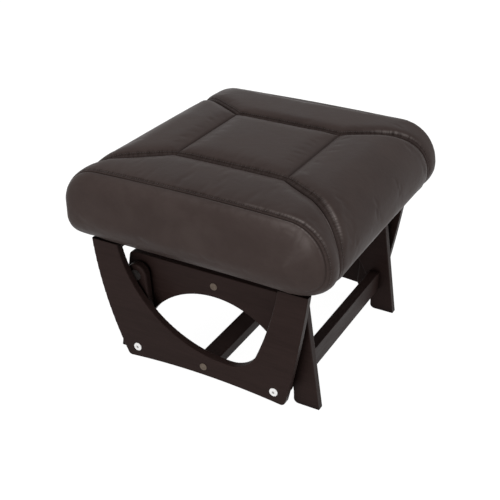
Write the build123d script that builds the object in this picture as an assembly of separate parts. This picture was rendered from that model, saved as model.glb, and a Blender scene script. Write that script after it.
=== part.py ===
import os
from math import atan2, cos, degrees, hypot, radians, sin, sqrt

from build123d import *

# A glider ottoman. X is the way the seat glides, Y runs from the near side to the far side
# and Z is up. The frame is laid out about its own centre plane, and every node is moved at
# the end so that the origin lies on the floor under the middle of the cushion.

# Side boards, in mm like everything here
side_thickness = 16.0
base_half_depth = 192.0  # centre to the outer face of a base side
link_gap = 27.0  # from a base side to the seat side beside it
edge_round = 1.5  # eased edges of the boards

# Base sides: a tapered board with a round arch between its two feet
base_height = 226.0
base_top_half = 183.0
base_foot_half = 218.0
base_corner_radius = 10.0
arch_radius = 166.5
arch_centre_z = 10.5
foot_round = 10.0

# Seat sides: a boat-shaped board with a bowl cut out, whose lowest point is off centre
seat_top_z = 260.0
seat_top_x = -14.0  # middle of the upper edge, seen from the frame's centre plane
seat_top_half = 222.0
seat_bottom_half = 168.0
seat_end_z = 20.0  # lower corners
seat_middle_z = 30.0  # middle of the bowed lower edge
seat_left_bulge = 11.0  # of the outer edges, past a straight line
seat_right_bulge = 3.0
seat_corner_radius = 9.0
bowl_low_x = 51.0
bowl_low_z = 70.5
bowl_left_radius = 235.0
bowl_right_radius = 64.0
bowl_right_turn = 68.0  # degrees of the tight arc before the right arm starts
bowl_right_top_x = 151.0

# Rails and stretchers
rail_thickness = 20.0
rail_width = 38.0
top_rail_z = 200.0
low_rail_z = 49.0
stretcher_height = 42.0
stretcher_x = 173.0
right_stretcher_z = 72.0
left_stretcher_z = 117.0
bearer_width = 22.0
bearer_height = 20.0
left_bearer_inset = 37.0  # in from the upper corner of the seat sides
right_bearer_inset = 30.0

# Swing links and their pivots
link_upper_x = 156.0
link_upper_z = 192.0
link_lower_x = 147.0
link_lower_z = 45.0
link_width = 44.0
link_thickness = 18.0
link_edge_round = 4.0
pivot_radius = 5.0
pivot_clearance = 0.05  # radial, in the bushes that carry the joints
open_pivot_clearance = 1.3  # radial, in the lower bushes of the right links
bush_outer_radius = 8.0
bush_flange_radius = 11.0
bush_flange = 1.5
side_play = 0.3
head_clearance = 1.0  # from a pivot's thin head to the board it passes
pivot_head_radius = 10.0

# Screws, dowels and caps
screw_radius = 3.0
screw_head_radius = 6.0
screw_head = 3.5
screw_fit = 0.05  # radial, for screws, dowels and caps in their holes
pivot_screw_depth = 14.0  # how far a pivot screw reaches into its barrel
rail_screw_depth = 34.0  # how far a rail screw reaches into the end grain
recess_depth = 5.5
recess_radius = 6.6
bronze_cap_radius = 7.3
bronze_cap = 1.2
white_cap_radius = 8.3
white_cap = 1.8
cap_plug = 1.6
cap_dimple_radius = 2.2
cap_dimple = 0.7
dowel_radius = 4.0
dowel_length = 30.0
dowel_in_side = 10.0
stretcher_dowel_spacing = 22.0
bearer_dowel_spacing = 11.0
cushion_screw_radius = 2.25
cushion_screw_head_radius = 4.5
cushion_screw_head = 3.0
cushion_screw_bite = 8.0  # reach into the cushion's board
cushion_screw_y = 120.0

# Cushion
cushion_x = -10.0  # its middle, seen from the frame's centre plane
cushion_overhang_x = 45.0  # past the upper corners of the seat sides
cushion_overhang_y = 35.0  # past the outer faces of the seat sides
cushion_height = 149.0
cushion_crown = 4.0
cushion_shoulder = 84.0  # radius of the rounded upper edges
end_round_side = 37.0
end_round_top = 31.0
end_round_bottom = 44.0
cover_thickness = 1.5
channel_depth = 4.0
channel_width = 4.0
patch_half = 111.5  # the square in the middle of the top
flare_from_side = 21.0  # where a seam from a corner of the square turns down the side
flare_from_end = 65.0
side_seam_low = 22.0
board_thickness = 12.0
board_margin = 3.0
hem_half_x = 150.0  # opening in the cover's underside
hem_half_y = 170.0
dust_cover_thickness = 0.8
dust_cover_play = 0.3

# Worked out from the sizes above
base_inner_y = base_half_depth - side_thickness
seat_inner_y = base_half_depth + link_gap
seat_outer_y = seat_inner_y + side_thickness
link_y = base_half_depth + (link_gap - link_thickness) / 2  # the link's face towards the base
washer = (link_gap - link_thickness) / 2 - bush_flange - side_play
pivot_head = washer - head_clearance
seat_left_x = seat_top_x - seat_top_half
seat_right_x = seat_top_x + seat_top_half
left_bearer_x = seat_left_x + left_bearer_inset
right_bearer_x = seat_right_x - right_bearer_inset
cushion_half_x = seat_top_half + cushion_overhang_x
cushion_half_y = seat_outer_y + cushion_overhang_y
flare_x = cushion_half_x - flare_from_side
flare_y = cushion_half_y - flare_from_end
origin = Pos(-cushion_x, 0, 0)


def between(face, low, high):
    # A board: an outline drawn in X and Z, filled from one Y to another.
    return extrude(Plane.XZ.offset(-high) * face, amount=high - low)


def rod(x, z, radius, y_from, y_to):
    # A round bar along Y.
    low, high = sorted((y_from, y_to))
    return between(Pos(x, z) * Circle(radius), low, high)


def near_and_far(shapes):
    # Shapes made on the far side, and the same again on the near side.
    return shapes + [mirror(shape, Plane.XZ) for shape in shapes]


def left_and_right(shapes):
    return shapes + [mirror(shape, Plane.YZ) for shape in shapes]


def eased(board, radius):
    # Round the long edges of a board's two faces.
    faces = board.faces().filter_by(Axis.Y).group_by(SortBy.AREA)[-1]
    return fillet(faces.edges(), radius)


def base_side():
    # One side of the base, on the far side, with its holes.
    right_foot, right_top = (base_foot_half, 0), (base_top_half, base_height)
    left_foot, left_top = (-base_foot_half, 0), (-base_top_half, base_height)
    outline = Polygon(left_foot, right_foot, right_top, left_top, align=None)
    arch = Pos(0, arch_centre_z) * Circle(arch_radius)
    arch += Pos(0, arch_centre_z / 2) * Rectangle(2 * arch_radius, arch_centre_z)
    face = outline - arch
    face = fillet(face.vertices().group_by(Axis.Y)[-1], base_corner_radius)
    mid_foot = (arch_radius + base_foot_half) / 2
    inner = face.vertices().group_by(Axis.Y)[0].filter_by(lambda corner: abs(corner.X) < mid_foot)
    face = fillet(inner, min(foot_round, 0.95 * arch_centre_z))
    side = eased(between(face, base_inner_y, base_half_depth), edge_round)
    for x in (-link_upper_x, link_upper_x):
        side -= rod(x, link_upper_z, screw_radius + screw_fit, base_inner_y, base_half_depth)
    side -= rail_screw_hole(top_rail_z, base_inner_y)
    for x, z in ((stretcher_x, right_stretcher_z), (-stretcher_x, left_stretcher_z)):
        side -= stretcher_dowels(x, z, screw_fit)
    return side


def seat_side():
    # One side of the seat frame, on the far side, with its holes.
    low_left, low_right = (-seat_bottom_half, seat_end_z), (seat_bottom_half, seat_end_z)
    top_left, top_right = (seat_left_x, seat_top_z), (seat_right_x, seat_top_z)
    left_centre_z = bowl_low_z + bowl_left_radius
    left_x = bowl_low_x - sqrt(bowl_left_radius**2 - (left_centre_z - seat_top_z) ** 2)
    left_half_turn = atan2(bowl_low_x - left_x, left_centre_z - seat_top_z) / 2
    left_middle = bowl_point(bowl_left_radius, -left_half_turn)
    turn = radians(bowl_right_turn)
    right_middle = bowl_point(bowl_right_radius, turn / 2)
    right_end = bowl_point(bowl_right_radius, turn)
    low = (bowl_low_x, bowl_low_z)
    outline = [
        ThreePointArc(low_left, (0, seat_middle_z), low_right),
        SagittaArc(low_right, top_right, -seat_right_bulge),
        Line(top_right, (bowl_right_top_x, seat_top_z)),
        TangentArc(right_end, (bowl_right_top_x, seat_top_z), tangent=(cos(turn), sin(turn))),
        ThreePointArc(right_end, right_middle, low),
        ThreePointArc(low, left_middle, (left_x, seat_top_z)),
        Line((left_x, seat_top_z), top_left),
        SagittaArc(low_left, top_left, seat_left_bulge),
    ]
    face = make_face(outline)
    face = fillet(face.vertices().group_by(Axis.Y)[0], seat_corner_radius)
    side = eased(between(face, seat_inner_y, seat_outer_y), edge_round)
    for x in (-link_lower_x, link_lower_x):
        side -= rod(x, link_lower_z, screw_radius + screw_fit, seat_inner_y, seat_outer_y)
        side -= rod(x, link_lower_z, recess_radius, seat_outer_y - recess_depth, seat_outer_y)
    side -= rail_screw_hole(low_rail_z, seat_inner_y)
    for x in (left_bearer_x, right_bearer_x):
        side -= bearer_dowels(x, screw_fit)
    return side


def bowl_point(radius, turn):
    # A point on one of the bowl's two arcs, turned away from the lowest point.
    return (bowl_low_x + radius * sin(turn), bowl_low_z + radius * (1 - cos(turn)))


def rail_screw_hole(z, inner_y):
    # Clearance for a rail's screw through a side board, with the recess for its head.
    outer_y = inner_y + side_thickness
    hole = rod(0, z, screw_radius + screw_fit, inner_y, outer_y)
    return hole + rod(0, z, recess_radius, outer_y - recess_depth, outer_y)


def rail_screw(z, inner_y):
    # A screw through a far side board into a rail's end.
    head_y = inner_y + side_thickness - recess_depth
    shank = rod(0, z, screw_radius, inner_y - rail_screw_depth, head_y)
    return shank + rod(0, z, screw_head_radius, head_y, head_y + screw_head)


def rail(z, width, height, end_y, x=0.0):
    # A straight bar between two side boards.
    return Pos(x, 0, z) * Box(width, 2 * end_y, height)


def screwed_rail(z, width, height, end_y):
    # A rail drilled for the screws in its ends.
    bar = rail(z, width, height, end_y)
    for hole in near_and_far([rod(0, z, screw_radius + screw_fit, end_y - rail_screw_depth, end_y)]):
        bar -= hole
    return bar


def cap(x, z, face_y, radius, height):
    # A press-in cap: a low dome over the recess and a plug inside it.
    dome = rod(x, z, radius, face_y, face_y + height)
    dome = fillet(dome.faces().sort_by(Axis.Y)[-1].edges(), height * 0.6)
    return dome + rod(x, z, recess_radius - screw_fit, face_y - cap_plug, face_y)


def dowels(x, z, x_step, z_step, board_y, grow):
    # Two far-side dowels across the joint between a side board's inner face and a bar's end.
    start = board_y + dowel_in_side - dowel_length
    return Compound([
        rod(x + s * x_step / 2, z + s * z_step / 2, dowel_radius + grow, start, board_y + dowel_in_side)
        for s in (-1, 1)
    ])


def stretcher_dowels(x, z, grow=0.0):
    return dowels(x, z, 0, stretcher_dowel_spacing, base_inner_y, grow)


def bearer_dowels(x, grow=0.0):
    return dowels(x, seat_top_z - bearer_height / 2, bearer_dowel_spacing, 0, seat_inner_y, grow)


def stretcher(x, z):
    bar = rail(z, rail_thickness, stretcher_height, base_inner_y, x)
    for holes in near_and_far([stretcher_dowels(x, z, screw_fit)]):
        bar -= holes
    return bar


def bearer(x):
    # A cross bar between the seat sides that carries the cushion.
    bar = rail(seat_top_z - bearer_height / 2, bearer_width, bearer_height, seat_inner_y, x)
    for holes in near_and_far([bearer_dowels(x, screw_fit)]):
        bar -= holes
    return bar - cushion_screw_holes(x)


def cushion_screw(x, y, grow=0.0, head_grow=0.0):
    # An upright screw from a bearer's underside into the cushion's board.
    low = seat_top_z - bearer_height
    top = seat_top_z + cover_thickness + cushion_screw_bite
    shank = Pos(x, y, (low + top) / 2) * Cylinder(cushion_screw_radius + grow, top - low)
    head_z = low + cushion_screw_head / 2
    return shank + Pos(x, y, head_z) * Cylinder(cushion_screw_head_radius + head_grow, cushion_screw_head)


def cushion_screw_holes(x):
    ends = (-cushion_screw_y, cushion_screw_y)
    return Compound([cushion_screw(x, y, screw_fit, screw_fit) for y in ends])


def link():
    # The right link on the far side.
    dx, dz = link_upper_x - link_lower_x, link_upper_z - link_lower_z
    middle = Pos((link_upper_x + link_lower_x) / 2, (link_upper_z + link_lower_z) / 2)
    outline = middle * Rot(0, 0, degrees(atan2(dz, dx))) * SlotCenterToCenter(hypot(dx, dz), link_width)
    plate = eased(between(outline, link_y, link_y + link_thickness), link_edge_round)
    for x, z in ((link_upper_x, link_upper_z), (link_lower_x, link_lower_z)):
        plate -= rod(x, z, bush_outer_radius, link_y, link_y + link_thickness)
    return plate


def bushes(x, z, clearance):
    # Two flanged bushes pushed into a far link from both faces.
    middle, far = link_y + link_thickness / 2, link_y + link_thickness
    bore = rod(x, z, pivot_radius + clearance, link_y - bush_flange, far + bush_flange)
    inner = rod(x, z, bush_outer_radius, link_y, middle)
    inner += rod(x, z, bush_flange_radius, link_y - bush_flange, link_y)
    outer = rod(x, z, bush_outer_radius, middle, far)
    outer += rod(x, z, bush_flange_radius, far, far + bush_flange)
    return [inner - bore, outer - bore]


def pivot(x, z, board_y, outwards):
    # A headed barrel with its washer, standing on the face of a board.
    reach = link_gap - pivot_head - head_clearance
    foot, head = board_y, board_y + outwards * reach
    barrel = rod(x, z, pivot_radius, foot, head)
    barrel += rod(x, z, pivot_head_radius, head, head + outwards * pivot_head)
    barrel -= rod(x, z, screw_radius + screw_fit, foot, foot + outwards * pivot_screw_depth)
    ring = rod(x, z, pivot_head_radius, foot, foot + outwards * washer)
    ring -= rod(x, z, pivot_radius + screw_fit, foot, foot + outwards * washer)
    return barrel, ring


def pivot_screw(x, z, board_y, outwards, head_y):
    # A screw through a side board into the barrel on its other face.
    shank = rod(x, z, screw_radius, head_y, board_y + outwards * (pivot_screw_depth - screw_fit))
    return shank + rod(x, z, screw_head_radius, head_y, head_y - outwards * screw_head)


def inset(past, radius):
    # How far a rounded edge has drawn in, at a distance past the start of its round.
    reached = min(max(past, 0.0), radius)
    return radius - sqrt(radius**2 - reached**2)


def cushion_section(y, shrink):
    # A slice of the cushion across X, with lines and arcs alone.
    end = cushion_half_y - shrink
    past = abs(y) - end
    side = inset(past + end_round_side - shrink, end_round_side - shrink)
    top = inset(past + end_round_top - shrink, end_round_top - shrink)
    bottom = inset(past + end_round_bottom - shrink, end_round_bottom - shrink)
    sag = cushion_crown * (y / cushion_half_y) ** 2
    half = cushion_half_x - shrink - side
    low = seat_top_z + shrink + bottom
    high = seat_top_z + cushion_height - shrink - top - sag
    edge = high - cushion_crown
    shoulder = min(cushion_shoulder - shrink - top, 0.6 * (edge - low))
    foot = edge - shoulder - low
    lean = 1 - sqrt(0.5)
    low_middle = (half - foot * lean, low + foot * lean)
    high_middle = (half - shoulder * lean, edge - shoulder * lean)
    right = [
        ThreePointArc((half - foot, low), low_middle, (half, low + foot)),
        ThreePointArc((half, low + foot), high_middle, (half - shoulder, edge)),
    ]
    crown = ThreePointArc((half - shoulder, edge), (0, high), (shoulder - half, edge))
    left = [mirror(arc, Plane.YZ) for arc in reversed(right)]
    base = Line((foot - half, low), (half - foot, low))
    return Plane.XZ.offset(-y) * make_face(right + [crown] + left + [base])


def plain_cushion(shrink):
    # The crowned body between its rounded ends, then the two ends.
    flat_end = cushion_half_y - end_round_bottom
    body = loft([cushion_section(flat_end * s, shrink) for s in (-1, -0.5, 0, 0.5, 1)])
    round_end = end_round_bottom - shrink
    angles = (0, 22, 42, 60, 76, 90)
    end = loft([cushion_section(flat_end + round_end * sin(radians(a)), shrink) for a in angles])
    return body + end + mirror(end, Plane.XZ)


def seam_slots(width):
    # Upright slots over the sewn lines: the square, its four flares and the runs down the sides.
    top = seat_top_z + cushion_height
    depth = cushion_height / 2
    high = Pos(0, 0, top - depth / 2 + channel_depth)
    across = Box(2 * patch_half + width, width, depth)
    along = Box(width, 2 * patch_half + width, depth)
    square = [high * Pos(0, s * patch_half, 0) * across for s in (-1, 1)]
    square += [high * Pos(s * patch_half, 0, 0) * along for s in (-1, 1)]
    dx, dy = flare_x - patch_half, flare_y - patch_half
    flare = high * Pos(patch_half + dx / 2, patch_half + dy / 2, 0)
    flare *= Rot(0, 0, degrees(atan2(dy, dx))) * Box(hypot(dx, dy) + width / 2, width, depth)
    drop_length = cushion_half_x - flare_x + width
    drop_height = cushion_height - side_seam_low
    drop = Pos(flare_x + drop_length / 2, flare_y, top - drop_height / 2)
    drop *= Box(drop_length, width, drop_height)
    return Part() + square + near_and_far(left_and_right([flare, drop]))


def cushion_form(shrink):
    # The cushion with its sewn channels, drawn in by one thickness all round.
    slots = seam_slots(channel_width + 2 * shrink) - plain_cushion(shrink + channel_depth)
    return Pos(cushion_x, 0, 0) * (plain_cushion(shrink) - slots)


def cushion_pieces():
    # The board, the foam on it, the cover round both and the dust cover under them.
    inner = cushion_form(cover_thickness)
    foot = cushion_height - cushion_crown - cushion_shoulder
    board_x = 2 * (cushion_half_x - foot - board_margin)
    board_y = 2 * (cushion_half_y - end_round_bottom - board_margin)
    board_z = seat_top_z + cover_thickness
    board = Pos(cushion_x, 0, board_z + board_thickness / 2) * Box(board_x, board_y, board_thickness)
    foam = inner - board
    hem = Pos(cushion_x, 0, seat_top_z + cover_thickness / 2)
    hem *= Box(2 * hem_half_x, 2 * hem_half_y, cover_thickness)
    cover = cushion_form(0) - inner - hem
    dust_x = 2 * (hem_half_x - dust_cover_play)
    dust_y = 2 * (hem_half_y - dust_cover_play)
    dust = Pos(cushion_x, 0, board_z - dust_cover_thickness / 2)
    dust *= Box(dust_x, dust_y, dust_cover_thickness)
    for x in (left_bearer_x, right_bearer_x):
        board -= cushion_screw_holes(x)
        cover -= cushion_screw_holes(x)
    return {"cushion_board": board, "cushion_foam": foam, "cushion_cover": cover, "dust_cover": dust}


def base_pieces():
    side = base_side()
    barrel, ring = pivot(link_upper_x, link_upper_z, base_half_depth, 1)
    screw = pivot_screw(link_upper_x, link_upper_z, base_half_depth, 1, base_inner_y)
    right_pins = stretcher_dowels(stretcher_x, right_stretcher_z)
    left_pins = stretcher_dowels(-stretcher_x, left_stretcher_z)
    rail_cap = cap(0, top_rail_z, base_half_depth, bronze_cap_radius, bronze_cap)
    return {
        "base_side_far": side,
        "base_side_near": mirror(side, Plane.XZ),
        "base_top_rail": screwed_rail(top_rail_z, rail_thickness, rail_width, base_inner_y),
        "base_stretcher_right": stretcher(stretcher_x, right_stretcher_z),
        "base_stretcher_left": stretcher(-stretcher_x, left_stretcher_z),
        "stretcher_dowels": Compound(near_and_far([right_pins, left_pins])),
        "base_rail_screws": Compound(near_and_far([rail_screw(top_rail_z, base_inner_y)])),
        "base_rail_caps": Compound(near_and_far([rail_cap])),
        "upper_pivot_barrels": Compound(near_and_far(left_and_right([barrel]))),
        "upper_pivot_washers": Compound(near_and_far(left_and_right([ring]))),
        "upper_pivot_screws": Compound(near_and_far(left_and_right([screw]))),
    }


def link_pieces():
    right = link()
    left = mirror(right, Plane.YZ)
    upper = bushes(link_upper_x, link_upper_z, pivot_clearance)
    lower = bushes(link_lower_x, link_lower_z, pivot_clearance)
    loose = bushes(link_lower_x, link_lower_z, open_pivot_clearance)
    left_upper = [mirror(bush, Plane.YZ) for bush in upper]
    left_lower = [mirror(bush, Plane.YZ) for bush in lower]
    return {
        "link_right_far": right,
        "link_right_near": mirror(right, Plane.XZ),
        "link_left_far": left,
        "link_left_near": mirror(left, Plane.XZ),
        "right_upper_bushes": Compound(near_and_far(upper)),
        "right_lower_bushes": Compound(near_and_far(loose)),
        "left_upper_bushes": Compound(near_and_far(left_upper)),
        "left_lower_bushes": Compound(near_and_far(left_lower)),
    }


def seat_pieces():
    side = seat_side()
    barrel, ring = pivot(link_lower_x, link_lower_z, seat_inner_y, -1)
    screw = pivot_screw(link_lower_x, link_lower_z, seat_inner_y, -1, seat_outer_y - recess_depth)
    white = cap(link_lower_x, link_lower_z, seat_outer_y, white_cap_radius, white_cap)
    cap_top = seat_outer_y + white_cap
    white -= rod(link_lower_x, link_lower_z, cap_dimple_radius, cap_top - cap_dimple, cap_top)
    rail_cap = cap(0, low_rail_z, seat_outer_y, bronze_cap_radius, bronze_cap)
    pins = [bearer_dowels(left_bearer_x), bearer_dowels(right_bearer_x)]
    screws = [cushion_screw(x, cushion_screw_y) for x in (left_bearer_x, right_bearer_x)]
    return {
        "seat_side_far": side,
        "seat_side_near": mirror(side, Plane.XZ),
        "seat_low_rail": screwed_rail(low_rail_z, rail_width, rail_thickness, seat_inner_y),
        "seat_rail_screws": Compound(near_and_far([rail_screw(low_rail_z, seat_inner_y)])),
        "seat_rail_caps": Compound(near_and_far([rail_cap])),
        "lower_pivot_barrels": Compound(near_and_far(left_and_right([barrel]))),
        "lower_pivot_washers": Compound(near_and_far(left_and_right([ring]))),
        "lower_pivot_screws": Compound(near_and_far(left_and_right([screw]))),
        "pivot_caps": Compound(near_and_far(left_and_right([white]))),
        "seat_bearer_left": bearer(left_bearer_x),
        "seat_bearer_right": bearer(right_bearer_x),
        "bearer_dowels": Compound(near_and_far(pins)),
        "cushion_screws": Compound(near_and_far(screws)),
    }


os.makedirs("parts", exist_ok=True)
nodes = base_pieces() | link_pieces() | seat_pieces() | cushion_pieces()
for name, shape in nodes.items():
    export_step(origin * shape, f"parts/{name}.step")
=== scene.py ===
import bpy
import bmesh
import math
import numpy as np
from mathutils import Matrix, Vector
from mathutils.bvhtree import BVHTree


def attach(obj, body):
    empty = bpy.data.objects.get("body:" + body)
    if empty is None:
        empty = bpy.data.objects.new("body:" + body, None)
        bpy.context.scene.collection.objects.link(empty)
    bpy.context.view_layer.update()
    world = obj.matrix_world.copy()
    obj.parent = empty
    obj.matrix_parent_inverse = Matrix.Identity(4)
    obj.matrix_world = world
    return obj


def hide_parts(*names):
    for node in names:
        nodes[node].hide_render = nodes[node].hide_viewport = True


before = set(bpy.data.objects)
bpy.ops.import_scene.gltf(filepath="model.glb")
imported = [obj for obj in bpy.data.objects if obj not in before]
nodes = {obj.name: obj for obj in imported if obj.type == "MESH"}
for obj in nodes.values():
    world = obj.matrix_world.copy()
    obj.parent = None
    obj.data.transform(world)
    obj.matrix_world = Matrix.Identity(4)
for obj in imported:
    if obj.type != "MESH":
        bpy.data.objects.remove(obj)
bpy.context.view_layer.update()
scene = bpy.context.scene
print("frame loaded:", len(nodes), "nodes")


# small helpers for pieces and node trees

def addNode(tree, kind, **settings):
    node = tree.nodes.new(kind)
    for name, value in settings.items():
        setattr(node, name, value)
    return node


def wire(tree, source, target):
    tree.links.new(source, target)


def newPiece(name, data):
    piece = bpy.data.objects.new(name, data)
    scene.collection.objects.link(piece)
    return piece


def feed(tree, value, socket):
    # a number, vector or colour is typed in, and anything else is a socket to wire up
    if isinstance(value, bpy.types.NodeSocket):
        wire(tree, value, socket)
    else:
        socket.default_value = value


def calc(tree, operation, *values, clamp=False):
    node = addNode(tree, "ShaderNodeMath", operation=operation, use_clamp=clamp)
    for value, socket in zip(values, node.inputs):
        feed(tree, value, socket)
    return node.outputs[0]


def times(tree, first, second, clamp=False):
    return calc(tree, "MULTIPLY", first, second, clamp=clamp)


def minus(tree, first, second):
    return calc(tree, "SUBTRACT", first, second)


def larger(tree, first, second):
    return calc(tree, "MAXIMUM", first, second)


def mixColour(tree, factor, first, second):
    node = addNode(tree, "ShaderNodeMix", data_type="RGBA")
    for value, socket in ((factor, node.inputs[0]), (first, node.inputs[6]), (second, node.inputs[7])):
        feed(tree, value, socket)
    return node.outputs[2]


def ramp(tree, value, low, high, lowOut=0.0, highOut=1.0):
    node = addNode(tree, "ShaderNodeMapRange", interpolation_type="SMOOTHSTEP")
    for item, socket in zip((value, low, high, lowOut, highOut), node.inputs):
        feed(tree, item, socket)
    return node.outputs[0]


def noise(tree, vector, scale, detail=3.0, roughness=0.5, distortion=0.0):
    node = addNode(tree, "ShaderNodeTexNoise")
    wire(tree, vector, node.inputs["Vector"])
    feed(tree, scale, node.inputs["Scale"])
    node.inputs["Detail"].default_value = detail
    node.inputs["Roughness"].default_value = roughness
    node.inputs["Distortion"].default_value = distortion
    return node.outputs["Fac"]


def newGroup(name, inputs, outputs):
    group = bpy.data.node_groups.new(name, "ShaderNodeTree")
    for label, kind, value in inputs:
        group.interface.new_socket(label, in_out="INPUT", socket_type=kind).default_value = value
    for label, kind in outputs:
        group.interface.new_socket(label, in_out="OUTPUT", socket_type=kind)
    return group, group.nodes.new("NodeGroupInput").outputs, group.nodes.new("NodeGroupOutput").inputs


def placeGroup(tree, group, **values):
    node = addNode(tree, "ShaderNodeGroup")
    node.node_tree = group
    for name, value in values.items():
        feed(tree, value, node.inputs[name])
    return node.outputs


def newMaterial(name):
    material = bpy.data.materials.new(name)
    material.use_nodes = True
    tree = material.node_tree
    shader = tree.nodes["Principled BSDF"]
    place = addNode(tree, "ShaderNodeTexCoord").outputs["Object"]
    return material, tree, shader, place


def dress(tree, shader, colour, rough, normal):
    for value, name in ((colour, "Base Color"), (rough, "Roughness"), (normal, "Normal")):
        wire(tree, value, shader.inputs[name])


def splitAxes(tree, vector):
    node = addNode(tree, "ShaderNodeSeparateXYZ")
    wire(tree, vector, node.inputs[0])
    return node.outputs


def bump(tree, height, distance, strength=1.0, normal=None):
    node = addNode(tree, "ShaderNodeBump")
    node.inputs["Distance"].default_value = distance
    node.inputs["Strength"].default_value = strength
    wire(tree, height, node.inputs["Height"])
    if normal is not None:
        wire(tree, normal, node.inputs["Normal"])
    return node.outputs["Normal"]


# effects that several finishes share

woodPattern = {"broad": 26, "fine": 210, "pores": 620, "broadShare": 0.55, "poreTone": 0.4}
hidePattern = {"pebble": 700.0, "pores": 2600, "tone": 9, "wrinkle": 42, "poreShare": 0.35}
edgePattern = {"width": 0.002, "breakUp": 0.5, "reach": 0.03, "patches": 90}


def makeGrainGroup():
    # long wood fibres: Along squeezes the pattern on the axis that the board runs in
    group, given, out = newGroup("woodGrain", [
        ("Position", "NodeSocketVector", (0, 0, 0)),
        ("Along", "NodeSocketVector", (1, 1, 1)),
        ("Dark", "NodeSocketColor", (0.01, 0.006, 0.005, 1)),
        ("Light", "NodeSocketColor", (0.03, 0.02, 0.016, 1)),
    ], [("Colour", "NodeSocketColor"), ("Fibre", "NodeSocketFloat"), ("Pores", "NodeSocketFloat")])
    squeezed = addNode(group, "ShaderNodeVectorMath", operation="MULTIPLY")
    wire(group, given["Position"], squeezed.inputs[0])
    wire(group, given["Along"], squeezed.inputs[1])
    broad = noise(group, squeezed.outputs[0], woodPattern["broad"], detail=4, roughness=0.55, distortion=0.5)
    fine = noise(group, squeezed.outputs[0], woodPattern["fine"], detail=3, roughness=0.6)
    pores = ramp(group, noise(group, squeezed.outputs[0], woodPattern["pores"], detail=2), 0.56, 0.72)
    share = woodPattern["broadShare"]
    fibre = calc(group, "ADD", times(group, broad, share), times(group, fine, 1 - share))
    tone = ramp(group, fibre, 0.32, 0.68)
    colour = mixColour(group, tone, given["Dark"], given["Light"])
    colour = mixColour(group, times(group, pores, woodPattern["poreTone"]), colour, given["Dark"])
    wire(group, colour, out["Colour"])
    wire(group, fibre, out["Fibre"])
    wire(group, pores, out["Pores"])
    return group


def makeEdgeGroup():
    # where a corner is sharp, as its rounded normal leans away from the true one
    group, given, out = newGroup("edgeWearAndPaintedLight", [
        ("Position", "NodeSocketVector", (0, 0, 0)),
        ("Width", "NodeSocketFloat", edgePattern["width"]),
        ("Break Up", "NodeSocketFloat", edgePattern["breakUp"]),
        ("Reach", "NodeSocketFloat", edgePattern["reach"]),
    ], [("Mask", "NodeSocketFloat"), ("Contact Shade", "NodeSocketFloat"), ("Soft Normal", "NodeSocketVector")])
    rounded = addNode(group, "ShaderNodeBevel", samples=4)
    wire(group, given["Width"], rounded.inputs["Radius"])
    surface = addNode(group, "ShaderNodeNewGeometry")
    lean = addNode(group, "ShaderNodeVectorMath", operation="DOT_PRODUCT")
    wire(group, rounded.outputs[0], lean.inputs[0])
    wire(group, surface.outputs["Normal"], lean.inputs[1])
    patchy = noise(group, given["Position"], edgePattern["patches"], detail=4, roughness=0.6)
    edge = ramp(group, lean.outputs["Value"], 0.995, 0.88)
    lost = times(group, given["Break Up"], ramp(group, patchy, 0.4, 0.62))
    kept = minus(group, 1.0, lost)
    wire(group, times(group, edge, kept, clamp=True), out["Mask"])
    wire(group, rounded.outputs[0], out["Soft Normal"])
    # and painted shade where it is shut in by what stands close to it
    contactShade = addNode(group, "ShaderNodeAmbientOcclusion", samples=8)
    wire(group, given["Reach"], contactShade.inputs["Distance"])
    wire(group, ramp(group, contactShade.outputs["AO"], 0.25, 0.85, 1.0, 0.0), out["Contact Shade"])
    return group


def makeSeamGroup():
    # one sewn line: how near a point is to it, as a narrow crease and a wide gathered strip
    group, given, out = newGroup("sewnLine", [
        ("Distance", "NodeSocketFloat", 1.0),
        ("Crease", "NodeSocketFloat", 0.0019),
        ("Gather", "NodeSocketFloat", 0.0055),
    ], [("Line", "NodeSocketFloat"), ("Strip", "NodeSocketFloat")])
    for width, name in (("Crease", "Line"), ("Gather", "Strip")):
        share = calc(group, "DIVIDE", given["Distance"], given[width])
        squared = times(group, share, share)
        wire(group, calc(group, "EXPONENT", times(group, squared, -1.0)), out[name])
    return group


def makeLeatherGroup():
    # pebbled grain with fine creases, and slow changes of tone
    group, given, out = newGroup("leatherGrain", [
        ("Position", "NodeSocketVector", (0, 0, 0)),
        ("Pebble", "NodeSocketFloat", hidePattern["pebble"]),
    ], [("Height", "NodeSocketFloat"), ("Tone", "NodeSocketFloat"), ("Wrinkle", "NodeSocketFloat")])
    cells = addNode(group, "ShaderNodeTexVoronoi", feature="SMOOTH_F1")
    wire(group, given["Position"], cells.inputs["Vector"])
    wire(group, given["Pebble"], cells.inputs["Scale"])
    cells.inputs["Smoothness"].default_value = 0.7
    pores = noise(group, given["Position"], hidePattern["pores"], detail=2)
    raised = times(group, pores, hidePattern["poreShare"])
    wire(group, minus(group, raised, cells.outputs["Distance"]), out["Height"])
    tone = noise(group, given["Position"], hidePattern["tone"], detail=5, roughness=0.62, distortion=0.3)
    wire(group, tone, out["Tone"])
    folds = noise(group, given["Position"], hidePattern["wrinkle"], detail=4, roughness=0.55, distortion=0.9)
    wire(group, folds, out["Wrinkle"])
    return group


grainGroup = makeGrainGroup()
edgeGroup = makeEdgeGroup()
seamGroup = makeSeamGroup()
leatherGroup = makeLeatherGroup()


# finishes

stain = {
    "dark": (0.0195, 0.0112, 0.0098, 1),
    "light": (0.0260, 0.0156, 0.0140, 1),
    "rubbedAndHighlit": (0.060, 0.042, 0.036, 1),
    # the next two: the colour of painted shade where parts stand close together, and how much of it is laid
    # on
    "deep": (0.0030, 0.0014, 0.0011, 1),
    "contactShadeShare": 0.9,
    "gloss": 0.05,
    "roughness": (0.34, 0.5),
    "stretch": 0.09,
    "edge": 0.0022, "rubAndHighlight": 0.5,
    "relief": 0.00016, "poreDepth": 0.5,
}


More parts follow.
